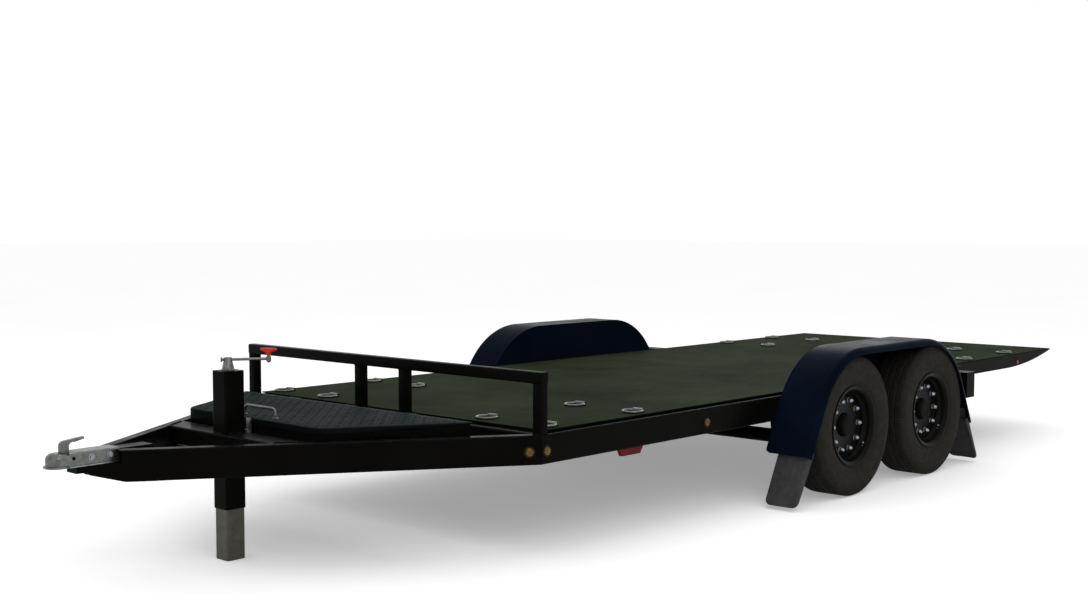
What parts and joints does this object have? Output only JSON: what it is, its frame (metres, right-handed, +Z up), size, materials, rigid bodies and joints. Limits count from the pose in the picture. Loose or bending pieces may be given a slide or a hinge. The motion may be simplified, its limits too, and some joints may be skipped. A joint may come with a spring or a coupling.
{
  "type": "tilt equipment trailer",
  "caption": "Tandem-axle tilt equipment trailer: steel bed pivoting in a channel frame, A-frame tongue with ball coupler, drop-leg jack, tongue box, front rail and long arched fenders.",
  "frame": {"origin": "on the ground below the middle of the trailer's overall box", "axes": "+X forward to the coupler, +Y to the trailer's left, +Z up"},
  "size_m": [7.01, 2.591, 0.903],
  "materials": {
    "black": "gloss",
    "deck_steel": "satin",
    "tread_plate": "satin",
    "zinc": "zinc plated",
    "steel": "oiled",
    "galvanised": "galvanised",
    "red_plastic": "matte",
    "red_paint": "gloss",
    "amber_lens": "clear lens",
    "red_lens": "clear lens",
    "flap_rubber": "matte",
    "tyre": "matte",
    "rim_black": "gloss"
  },
  "bodies": {
    "chassis": {"coupler": "zinc", "coupler_latch": "zinc", "coupler_mount": "black", "tongue_rail_left": "black", "tongue_rail_right": "black", "header": "black", "side_rail_left": "black", "side_rail_right": "black", "crossmembers": "black", "pivot_shaft": "steel", "front_rail": "black", "box_bearers": "black", "tongue_box": "black", "lid_hinges": "black", "jack_crossbar": "black", "jack_tube": "black", "jack_crank": "zinc", "crank_grip": "red_plastic", "fender_left": "black", "fender_right": "black", "mud_flaps": "flap_rubber", "axle_front": "black", "axle_rear": "black", "leaf_springs": "black", "spring_hangers": "black", "equalisers": "black", "amber_lamps": "amber_lens", "tail_lamp_boxes": "black", "red_lamps": "red_lens", "tilt_latch": "red_paint"},
    "bed": {"deck_plate": "deck_steel", "bed_rail_left": "black", "bed_rail_right": "black", "bed_crossmembers": "black", "bed_lugs": "black", "tie_rings": "zinc", "tail_markers": "red_lens"},
    "lid": {"box_lid": "tread_plate", "lid_handle": "zinc"},
    "leg": {"jack_leg": "galvanised"},
    "wheel_front_left": {"tyre_front_left": "tyre", "rim_front_left": "rim_black", "hub_front_left": "rim_black"},
    "wheel_front_right": {"tyre_front_right": "tyre", "rim_front_right": "rim_black", "hub_front_right": "rim_black"},
    "wheel_rear_left": {"tyre_rear_left": "tyre", "rim_rear_left": "rim_black", "hub_rear_left": "rim_black"},
    "wheel_rear_right": {"tyre_rear_right": "tyre", "rim_rear_right": "rim_black", "hub_rear_right": "rim_black"}
  },
  "joints": [
    {"name": "bed_tilt", "type": "hinge", "parent": "chassis", "child": "bed", "pos_m": [-1.025, 0, 0.441], "axis": [0, -1, 0], "range_deg": [0, 12]},
    {"name": "lid_hinge", "type": "hinge", "parent": "chassis", "child": "lid", "pos_m": [1.996, 0, 0.587], "axis": [0, -1, 0], "range_deg": [0, 85]},
    {"name": "jack_slide", "type": "slide", "parent": "chassis", "child": "leg", "axis": [0, 0, 1], "range_m": [0, 0.2]},
    {"name": "wheel_front_left_spin", "type": "hinge", "parent": "chassis", "child": "wheel_front_left", "pos_m": [-0.3485, 0, 0.371], "axis": [0, 1, 0], "continuous": true},
    {"name": "wheel_front_right_spin", "type": "hinge", "parent": "chassis", "child": "wheel_front_right", "pos_m": [-0.3485, 0, 0.371], "axis": [0, 1, 0], "continuous": true},
    {"name": "wheel_rear_left_spin", "type": "hinge", "parent": "chassis", "child": "wheel_rear_left", "pos_m": [-1.2095, 0, 0.371], "axis": [0, 1, 0], "continuous": true},
    {"name": "wheel_rear_right_spin", "type": "hinge", "parent": "chassis", "child": "wheel_rear_right", "pos_m": [-1.2095, 0, 0.371], "axis": [0, 1, 0], "continuous": true}
  ]
}
